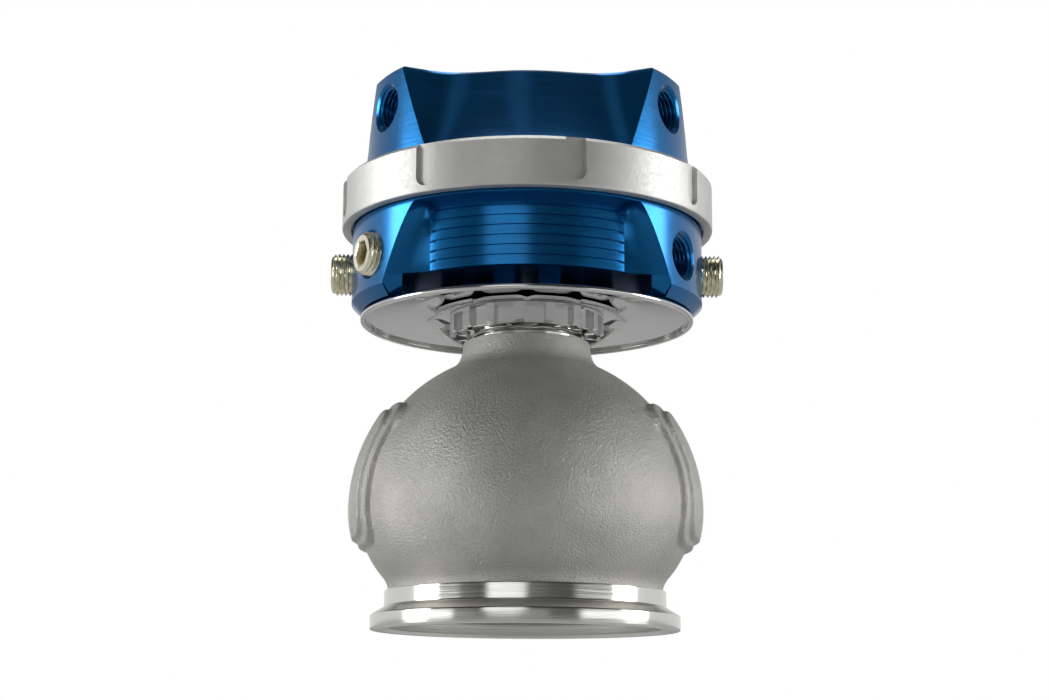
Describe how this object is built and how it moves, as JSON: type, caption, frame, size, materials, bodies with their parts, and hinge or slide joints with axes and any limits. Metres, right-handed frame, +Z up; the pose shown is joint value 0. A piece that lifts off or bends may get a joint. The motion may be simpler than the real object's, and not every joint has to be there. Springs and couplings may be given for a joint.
{
  "type": "turbo wastegate",
  "caption": "External wastegate: poppet valve in a cast V-band housing, lifted by boost against springs in a diaphragm actuator that clocks on the neck.",
  "frame": {"origin": "centre of the inlet flange's face", "axes": "+Z up the valve's axis towards the cap, +Y the way the outlet points, -Y the front"},
  "size_m": [0.0926, 0.096, 0.1275],
  "materials": {
    "cast_steel": "bead-blasted stainless casting, fine grain",
    "turned_steel": "turned stainless steel",
    "valve_steel": "heat resistant steel",
    "dark_steel": "sintered seal",
    "polished_steel": "polished stainless sheet",
    "blue_anodised": "bright blue anodised, turned",
    "clear_anodised": "satin clear anodised",
    "bronze": "bearing bronze",
    "nickel_plate": "nickel plated",
    "spring_steel": "oiled spring wire",
    "silicone": "reinforced silicone",
    "rubber": "fluorocarbon rubber"
  },
  "bodies": {
    "root": {"valve_housing": "cast_steel", "seat_ring": "turned_steel", "valve_guide": "bronze", "stem_seal": "dark_steel", "seal_retainer": "turned_steel", "castellated_nut": "turned_steel"},
    "actuator": {"star_washer": "turned_steel", "heat_shield": "polished_steel", "lower_housing": "blue_anodised", "rod_bush": "bronze", "rod_seal": "rubber", "plug_front_left": "nickel_plate", "plug_left": "nickel_plate", "plug_right": "nickel_plate", "diaphragm": "silicone", "outer_spring": "spring_steel", "inner_spring": "spring_steel", "actuator_cap": "blue_anodised", "locking_collar": "clear_anodised"},
    "valve_group": {"valve": "valve_steel", "lower_plate": "clear_anodised", "piston": "clear_anodised", "stem_washer": "turned_steel", "stem_nut": "turned_steel"}
  },
  "joints": [
    {"name": "actuator_clock", "type": "hinge", "parent": "root", "child": "actuator", "pos_m": [0, 0, 0.0755], "axis": [0, 0, 1], "continuous": true},
    {"name": "valve_lift", "type": "slide", "parent": "actuator", "child": "valve_group", "axis": [0, 0, 1], "range_m": [0, 0.012], "stiffness_N_per_m": 9000, "springref_m": -0.006, "deforming": ["outer_spring", "inner_spring", "diaphragm"]}
  ]
}
